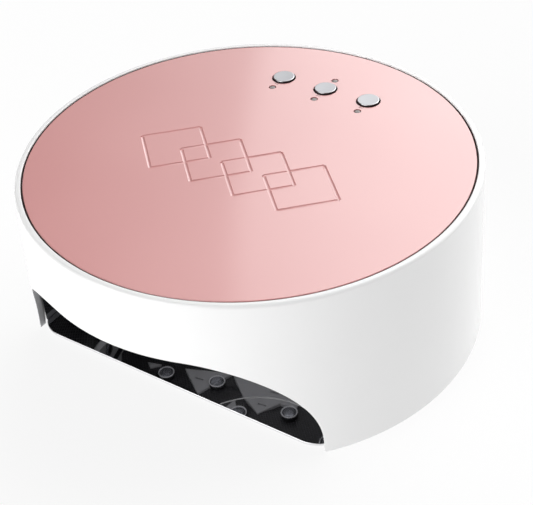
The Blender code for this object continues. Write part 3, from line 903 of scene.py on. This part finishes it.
def make_guide():
    """Etched curve on the tray: a shallow band, cut off at the tray's front and side."""
    inside, outside = GUIDE_RADIUS - GUIDE_WIDTH / 2, GUIDE_RADIUS + GUIDE_WIDTH / 2
    top, low = TRAY_TOP + 0.03, TRAY_TOP - 0.1
    bm = spin([(inside, top), (outside, top), (outside, low), (inside, low)], 240, closed=True)
    move(bm, (*GUIDE_CENTRE, 0))
    trim(bm, (0, TRAY_FRONT + 0.6, 0), (0, -1, 0))
    trim(bm, (MOUTH_HALF - 0.3, 0, 0), (1, 0, 0))
    finish(bm, "thumb_guide", "tray", [etched])


# Acid etching leaves fine pits that scatter light, so the line is pale from every side.
etched = moulded("acid_etched_line", "B0B0B3", "C4C4C7", 0.6, 0.3, 0.004)
make_tray()
make_guide()


# %% Pads
def make_pad(number):
    """Rubber pad with a rounded edge and three shallow grip rings."""
    low, high, middle, radius = reach_of(f"foot_{number}")
    rings = []
    for ring in (4.6, 3.2, 1.8):
        rings += [(ring + 0.3, 0.0), (ring + 0.15, 0.12), (ring - 0.15, 0.12), (ring - 0.3, 0.0)]
    edge = arc((radius - 0.15, 0.15), 0.15, 0, -90, 3)
    profile = [(0, high.z), (radius - 0.1, high.z), (radius, high.z - 0.1), *edge, *rings, (0, 0)]
    bm = move(spin(profile, 64), (middle.x, middle.y, 0))
    finish(bm, f"rubber_pad_{number}", "tray", [pad_rubber], [f"foot_{number}"])


for number in range(1, 5):
    make_pad(number)
print("tray, guide and pads made")

# %% [markdown]
# ## The hood
# The hand cavity is a separate black moulding: a drum that opens into an arched way to the
# front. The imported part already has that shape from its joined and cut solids. A copy of it is
# merged, its flat triangles are joined back into clean faces, and it is shaded smooth.


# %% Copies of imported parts
def copy_of(name):
    """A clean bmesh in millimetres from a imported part's loose triangles."""
    bm = bmesh.new()
    bm.from_mesh(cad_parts[name].data)
    bmesh.ops.scale(bm, vec=(1 / MM, 1 / MM, 1 / MM), verts=bm.verts)
    bmesh.ops.remove_doubles(bm, verts=bm.verts, dist=0.002)
    bmesh.ops.dissolve_limit(bm, angle_limit=math.radians(0.5), verts=bm.verts, edges=bm.edges)
    return bm


def soften(bm, width, angle=40.0):
    """Bevel every edge that is sharper than an angle."""
    hard = [e for e in bm.edges if e.is_manifold and math.degrees(e.calc_face_angle(0)) > angle]
    bevel(bm, hard, width, 2)
    return bm


finish(copy_of("inner_liner"), "hood", "housing", [mesh_hood], ["inner_liner"])

# %% [markdown]
# ## The faceted ceiling
# The reflector is a low relief in black mesh, with smooth grey shards set into it like a cut
# star. The relief is spun in a few sectors whose alternate corners are lifted. Each shard starts
# as one face with the corners of its outline, and is raised and bevelled; the shards of the star
# and its wings are slotted for air.

# %% Ceiling relief
SECTORS = 12
FACET_RELIEF = 1.2
FACET_RINGS = ((11.0, 57.4), (36.0, 57.2), (62.0, 57.5), (79.4, 57.0))     # radius, height
CEILING_RADIUS = 84.0
CEILING_TOP = extent("reflector")[1].z


def make_relief():
    """Spin the ceiling in sectors and lift every second corner of its inner rings."""
    rings = [(0, 57.6), *FACET_RINGS, (CEILING_RADIUS, 57.0), (CEILING_RADIUS, CEILING_TOP),
             (0, CEILING_TOP)]
    bm = spin(rings, SECTORS)
    bmesh.ops.triangulate(bm, faces=[f for f in bm.faces if f.normal.z < -0.5])
    for vert in bm.verts:
        reach = vert.co.xy.length
        sector = round(math.degrees(math.atan2(vert.co.y, vert.co.x)) / (360 / SECTORS))
        if vert.co.z < CEILING_TOP - 1 and 8 < reach < 70 and sector % 2:
            vert.co.z += FACET_RELIEF
    return face_out(bm)


# %% Shards
SHARD_LOW = 56.45
SHARD_HIGH = 58.5
WING = ((-40.5, -11.5), (-18.0, -2.5), (-25.0, -22.5))
STAR = ((-16.5, -4.0), (-4.0, -1.4), (6.0, -0.6), (20.0, -1.2), (22.0, -7.0), (13.3, -8.4),
        (7.7, -19.3), (-5.0, -13.0))
SLIVER = ((-59.5, -17.0), (-52.5, -15.0), (-56.7, -19.0))
RIM_SHARD = ((-78.0, -9.0), (-75.0, -18.6), (-69.2, -25.9), (-66.0, -36.0), (-73.0, -28.0))
SLOT_PLACES = ((6.5, -13.6), (7.0, -3.9), (-30.0, -14.0))
SLOT_SIZE = (4.6, 0.8, 1.6)
SLOT_TURN = 8.0


def add_shard(bm, corners, turn=0.0, flip=1):
    """One flat shard with a fine bevel, turned about the middle or mirrored in X."""
    shard = bmesh.new()
    shard.faces.new([shard.verts.new((flip * x, y, SHARD_LOW)) for x, y in corners])
    lift_face(shard, SHARD_HIGH - SHARD_LOW)
    low = [e for e in shard.edges if all(v.co.z < SHARD_LOW + 0.01 for v in e.verts)]
    bevel(shard, low, 0.25)
    join(bm, paint(move(shard, matrix=turned(turn)), 1))


def slot_cutter():
    """Air slots, cut into the shards at both ends of the star."""
    cutter = bmesh.new()
    for turn in (0, 180):
        for x, y in SLOT_PLACES:
            made = block(cutter, SLOT_SIZE)
            move(cutter, (x, y, SHARD_LOW), turned(SLOT_TURN), made)
            move(cutter, matrix=turned(turn), verts=made)
    return cutter


def make_ceiling():
    """Slotted shards on the black relief: the star and wings, then the small outer ones."""
    shards = bmesh.new()
    for turn in (0, 180):
        add_shard(shards, STAR, turn)
        for wing_turn in (0, 60):
            add_shard(shards, WING, turn + wing_turn)
    shards = paint(cut(shards, slot_cutter()), 1)
    for turn in (0, 180):
        for flip in (1, -1):
            for outline in (SLIVER, RIM_SHARD):
                add_shard(shards, outline, turn, flip)
    return finish(join(make_relief(), face_out(shards)), "faceted_ceiling", "housing",
                  [mesh_ceiling, satin_facet], ["reflector"], sharp=2)


# %% [markdown]
# ## Shards on the hood's wall
# Next to the arched way, a grey panel climbs each side wall of the hood and carries a side lamp.
# It is a short curved band, spun part of the way round and cut off along a slanting plane. A
# near-white strip runs along the slanting edge: a painted highlight where light from the mouth
# catches the panel.

# %% Wall shards
PANEL_SPAN = (186.0, 226.0)            # angles around the lamp on the left wall
PANEL_HEIGHTS = (20.0, 55.6)
PANEL_INSIDE = HOOD_RADIUS - 0.45
PANEL_THICK = 0.4
EDGE_LOW = (216.7, 27.0)               # two points, as angle and height, on the slanting edge
EDGE_HIGH = (208.0, 32.8)
STRIP_WIDTH = 4.0


def on_wall(angle, height):
    """Point on the inside of the hood's wall."""
    turn = math.radians(angle)
    return Vector((PANEL_INSIDE * math.cos(turn), PANEL_INSIDE * math.sin(turn), height))


def curved_band(proud):
    """Part of a thin ring on the hood's wall, over the panel's span and height."""
    low, high = PANEL_HEIGHTS
    inside, outside = PANEL_INSIDE - proud, PANEL_INSIDE + PANEL_THICK
    bm = bmesh.new()
    points = [bm.verts.new((r, 0, z)) for r, z in ((inside, low), (outside, low),
                                                   (outside, high), (inside, high))]
    edges = [bm.edges.new(pair) for pair in zip(points, points[1:] + points[:1])]
    move(bm, matrix=turned(PANEL_SPAN[0]))
    bmesh.ops.spin(bm, geom=points + edges, cent=(0, 0, 0), axis=(0, 0, 1), dvec=(0, 0, 0),
                   angle=math.radians(PANEL_SPAN[1] - PANEL_SPAN[0]), steps=40)
    bmesh.ops.holes_fill(bm, edges=[e for e in bm.edges if e.is_boundary])
    return face_out(bm)


def make_wall_shard(side, name):
    """Grey panel above the slanting edge, with a painted highlight strip along it."""
    along = on_wall(*EDGE_HIGH) - on_wall(*EDGE_LOW)
    across = along.cross(on_wall(*EDGE_LOW).xy.to_3d()).normalized()
    if across.z < 0:
        across.negate()
    panel = curved_band(0.0)
    trim(panel, on_wall(*EDGE_LOW) + across * STRIP_WIDTH, -across)
    strip = curved_band(0.15)
    trim(strip, on_wall(*EDGE_LOW), -across)
    trim(strip, on_wall(*EDGE_LOW) + across * STRIP_WIDTH, across)
    both = join(paint(panel, 0), paint(strip, 1))
    bmesh.ops.scale(both, vec=(side, 1, 1), verts=both.verts)
    finish(face_out(both), name, "housing", [satin_facet, painted_highlight_facet])


ceiling = make_ceiling()
make_wall_shard(1, "wall_shard_left")
make_wall_shard(-1, "wall_shard_right")
print("ceiling:", len(ceiling.data.polygons), "faces")

# %% [markdown]
# ## The lamps
# Each lamp is a clear dome in a black collar with a pale lip, whose pale colour is a painted
# glint. A small square chip sits in the black mask behind the dome. All this is one piece with
# four finishes. The side lamps are the same piece, laid flat.


# %% Lamps
LAMP_RADIUS = 4.0
DOME_RADIUS = 3.1
CHIP_SIZE = (2.6, 2.6, 0.6)
CHIP_HOLE = 1.5                        # radius of the hole in the black mask around a chip
LAMP_FINISHES = [lamp_lip_glint, dome_clear, lamp_chip, black_abs]


def lamp_parts(tip, shoulder, top, flange=LAMP_RADIUS):
    """A lamp that points down: collar, dome and chip, with their finishes by face."""
    back, waist = shoulder + 1.0, shoulder - 0.2
    collar = [(DOME_RADIUS, shoulder + 0.1), (3.45, shoulder - 0.3), (3.6, shoulder - 0.7),
              (3.85, shoulder - 0.7), (LAMP_RADIUS, shoulder - 0.4), (LAMP_RADIUS, top - 1.2),
              (flange, top - 1.2), (flange, top), (DOME_RADIUS, top)]
    # The thin lip takes the pale finish, a painted glint; the rest of the collar is black.
    bm = paint(spin(collar, 40, closed=True), lambda middle: 0 if (
        middle.z < shoulder - 0.3 and 3.5 < middle.xy.length < LAMP_RADIUS) else 3)
    dome = [(0, back), (CHIP_HOLE, back), (DOME_RADIUS, back), (DOME_RADIUS, waist)]
    dome += [(DOME_RADIUS * math.cos(a), waist - (waist - tip) * math.sin(a))
             for a in (math.radians(9 * i) for i in range(1, 10))] + [(0, tip)]
    join(bm, paint(spin(dome, 40), lambda middle: 3 if (
        middle.z > back - 0.1 and middle.xy.length > CHIP_HOLE) else 1))
    chip = bmesh.new()
    block(chip, CHIP_SIZE)
    bevel(chip, chip.edges[:], 0.1)
    return join(bm, paint(move(chip, (0, 0, back + 0.4)), 2))


def make_ceiling_lamp(number):
    """A lamp in the ceiling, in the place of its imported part."""
    node_name = f"led_lens_{number:02d}"
    low, high, middle, radius = reach_of(node_name)
    bm = lamp_parts(low.z, low.z + 1.7, high.z)
    move(bm, (middle.x, middle.y, 0))
    finish(bm, f"ceiling_lamp_{number:02d}", "housing", LAMP_FINISHES, [node_name])


def make_side_lamp(number):
    """A lamp in the hood's side wall, pointing inwards."""
    node_name = f"side_lens_{number}"
    middle = reach_of(node_name)[2]
    around = math.degrees(math.atan2(middle.y, middle.x))
    bm = lamp_parts(-77.6, -79.3, -83.6, 5.5)
    for vert in bm.verts:
        vert.co.z = -vert.co.z
    bmesh.ops.reverse_faces(bm, faces=bm.faces)
    move(bm, (0, 0, middle.z), turned(around) @ turned(90, "Y"))
    finish(bm, f"side_lamp_{number}", "housing", LAMP_FINISHES, [node_name])


for number in range(1, 15):
    make_ceiling_lamp(number)
for number in range(1, 5):
    make_side_lamp(number)
print("lamps made")

# %% [markdown]
# ## The underside
# From below one sees the closing ring, its four screws and the magnets that hold the tray. The
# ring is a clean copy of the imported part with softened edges. Each screw has a cross recess in
# its head.

# %% Ring, screws and magnets
finish(soften(copy_of("bottom_frame"), 0.25), "closing_ring", "housing", [grey_abs],
       ["bottom_frame"])


RECESS_SIZE = (2.6, 0.55, 1.4)


def cross_recess(place):
    """Cutter for the cross in a screw's head, around a place on the head's face."""
    bm = bmesh.new()
    for turn in (20, 110):
        move(bm, matrix=turned(turn), verts=block(bm, RECESS_SIZE))
    return move(bm, place)


def make_screw(node_name, piece_name):
    """Pan-head screw, head down, with its thread as turned rings."""
    low, high, middle, radius = reach_of(node_name)
    large = radius > 2.8
    shank = 1.2 if large else 1.0
    head = low.z + (1.0 if large else 1.3)
    thread = []
    height = head + 1.2
    while height < high.z - 1.6:
        thread += [(shank, height), (shank - 0.3, height + 0.25)]
        height += 0.5
    profile = [(0, high.z), (shank * 0.6, high.z - 0.9), *reversed(thread), (shank, head),
               (radius, head), *arc((radius - 0.35, low.z + 0.35), 0.35, 0, -90, 4), (0, low.z)]
    bm = move(spin(profile, 40), (middle.x, middle.y, 0))
    bm = cut(bm, cross_recess((middle.x, middle.y, low.z)))
    finish(bm, piece_name, "housing", [zinc], [node_name])


for number in range(1, 5):
    make_screw(f"frame_screw_{number}", f"ring_screw_{number}")
for number in range(1, 3):
    make_screw(f"board_screw_{number}", f"circuit_screw_{number}")


def make_magnet(number):
    """Disc magnet with the rounded edges of its plating."""
    low, high, middle, radius = reach_of(f"tray_magnet_{number}")
    profile = [(0, high.z), *arc((radius - 0.2, high.z - 0.2), 0.2, 90, 0, 3),
               *arc((radius - 0.2, low.z + 0.2), 0.2, 0, -90, 3), (0, low.z)]
    bm = move(spin(profile, 48), (middle.x, middle.y, 0))
    finish(bm, f"disc_magnet_{number}", "housing", [nickel], [f"tray_magnet_{number}"])


for number in range(1, 5):
    make_magnet(number)

# %% [markdown]
# ## The power inlet
# A barrel socket in the back wall: a rounded flange, a deep bore with a steel pin, and a thread
# that takes the nut inside. It is spun upright and then laid along Y, facing out of the back.

# %% Inlet
INLET_PLACE = (0, 0, JACK_HEIGHT)
LAY_BACK = turned(-90, "X")
jack_low, jack_high = extent("dc_jack")


def make_inlet():
    """Socket body with its flange and bore, its steel pin, and the nut inside."""
    face, rear = jack_high.y, jack_low.y
    thread = []
    along = face - 3.6
    while along > face - 9.5:
        thread += [(4.0, along), (3.75, along - 0.35)]
        along -= 0.7
    body = [(0, face - 11.4), (3.2, face - 11.4), (3.2, face - 0.5), (3.45, face - 0.1),
            (3.7, face), *arc((5.2, face - 0.4), 0.4, 90, 0, 4), (5.6, face - 0.8),
            (4.0, face - 0.8), *thread, (4.0, rear + 0.3), (3.7, rear), (0, rear)]
    bm = spin(body, 64)
    finish(move(bm, INLET_PLACE, LAY_BACK), "inlet_socket", "housing", [black_abs], ["dc_jack"])
    pin = spin([(0, face - 1.5), *arc((0.55, face - 2.0), 0.5, 90, 0, 4), (1.05, face - 11.5),
                (0, face - 11.5)], 32)
    finish(move(pin, INLET_PLACE, LAY_BACK), "inlet_pin", "housing", [nickel])


make_inlet()
finish(soften(copy_of("jack_nut"), 0.3), "inlet_nut", "housing", [zinc], ["jack_nut"])

# %% [markdown]
# ## Parts inside
# The boards, switches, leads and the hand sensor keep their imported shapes. Each gets the finish
# of what it is: solder mask on the boards, nylon on the switches, soft PVC on the leads.

# %% Finishes of the inner parts
INNER_FINISHES = {
    "plate_adhesive": foam_and_gap_shade,
    "led_board": white_mask,
    "control_board": green_mask,
    "power_lead": wire_pvc,
    "led_lead": wire_pvc,
    "hand_sensor": switch_nylon,
    **{f"tact_switch_{side}": switch_nylon for side in SIDES},
    **{f"switch_plunger_{side}": plunger_nylon for side in SIDES},
}
for name, surface in INNER_FINISHES.items():
    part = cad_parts[name]
    part.data.materials.clear()
    part.data.materials.append(surface)
print("inner parts finished:", len(INNER_FINISHES))

# %% [markdown]
# ## Floor and studio light
# The lamp stands on a lit white table, as in a product studio, so it throws hardly any shadow.
# Round softboxes are part of the surroundings: each is a bright patch of sky around one
# direction, and it fades out towards its edge. One at the front keeps the wall white there, and
# one behind the lamp lays its light across the right part of the plate. A plain dome hides them
# from the camera.

# %% Floor and backdrop
STAGE_RADIUS = 6.0


def stage_piece(bm, name, surface):
    """Add a floor or a backdrop, which is no part of the lamp."""
    mesh = bpy.data.meshes.new(name)
    bm.to_mesh(mesh)
    bm.free()
    mesh.materials.append(surface)
    piece = new_object(name, mesh)
    return piece


def lit_surface(name, dark, light, glow):
    """A pale surface that glows a little, so that shadows on it stay faint."""
    material, tree, shader, place = finish_of(name, Roughness=1.0, Specular_IOR_Level=0.0,
                                              Emission_Color=(1, 1, 1, 1),
                                              Emission_Strength=glow)
    tone = node(tree, "ShaderNodeTexNoise", {"Vector": place, "Scale": 1.5})
    tint(tree, shader, tone.outputs["Fac"], dark, light)
    return material


def make_stage():
    """A lit table top, and a dome that only the camera sees."""
    table = bmesh.new()
    bmesh.ops.create_circle(table, cap_ends=True, segments=64, radius=STAGE_RADIUS)
    stage_piece(table, "floor", lit_surface("lit_table_top", "606060", "636363", 0.87))
    dome = bmesh.new()
    bmesh.ops.create_icosphere(dome, subdivisions=4, radius=STAGE_RADIUS)
    backdrop = stage_piece(dome, "backdrop", lit_surface("plain_backdrop", "000000", "020202",
                                                         0.96))
    for kind in ("diffuse", "glossy", "transmission", "shadow"):
        setattr(backdrop, f"visible_{kind}", False)


# %% Softboxes
AMBIENT = 0.09
# Direction around the lamp and height in degrees, inner and outer edge in degrees, brightness
SOFTBOXES = (
    (-106.0, 20.0, 10.0, 40.0, 3.6),   # front, for the white of the wall
    (84.0, 33.0, 34.8, 36.6, 0.85),    # behind, with the edge that shows on the plate
    (84.0, 33.0, 25.0, 50.0, 1.1),     # behind, a wide glow
    (84.0, 34.0, 6.0, 38.0, 1.0),      # behind, the bright middle
    (48.0, 24.0, 4.0, 26.0, 1.4),      # right and behind, for the end of the wall
)


def make_world():
    """Dim surroundings with round soft patches of light."""
    world = bpy.data.worlds.new("studio")
    world.use_nodes = True
    tree = world.node_tree
    direction = tree.nodes.new("ShaderNodeTexCoord").outputs["Generated"]
    total = AMBIENT
    for azimuth, elevation, inner, outer, brightness in SOFTBOXES:
        turn, height = math.radians(azimuth), math.radians(elevation)
        axis = (math.cos(turn) * math.cos(height), math.sin(turn) * math.cos(height),
                math.sin(height))
        facing = node(tree, "ShaderNodeVectorMath", {0: direction, 1: axis},
                      operation="DOT_PRODUCT")
        patch = node(tree, "ShaderNodeMapRange",
                     {"Value": facing.outputs["Value"], "To Max": brightness,
                      "From Min": math.cos(math.radians(outer)),
                      "From Max": math.cos(math.radians(inner))},
                     interpolation_type="SMOOTHSTEP")
        total = node(tree, "ShaderNodeMath", {0: patch.outputs["Result"], 1: total}).outputs[0]
    background = tree.nodes["Background"]
    background.inputs["Color"].default_value = (1, 1, 1, 1)
    tree.links.new(total, background.inputs["Strength"])
    bpy.context.scene.world = world


# %% Light under the hood
HOOD_LIGHT_HEIGHT = 20.0
HOOD_LIGHT_SIZE = 110.0


def make_hood_light():
    """A small fill light under the ceiling, which the camera doesn't see."""
    data = bpy.data.lights.new("hood_fill", "AREA")
    data.shape = "DISK"
    data.size = HOOD_LIGHT_SIZE * MM
    data.energy = 0.012
    light = new_object("hood_fill", data)
    light.location = (0, 0, HOOD_LIGHT_HEIGHT * MM)
    light.rotation_euler = (math.pi, 0, 0)
    light.visible_camera = False


make_stage()
make_world()
make_hood_light()
bpy.context.scene.view_settings.view_transform = "Standard"

# %% Finish
print("pieces made:", len(pieces))
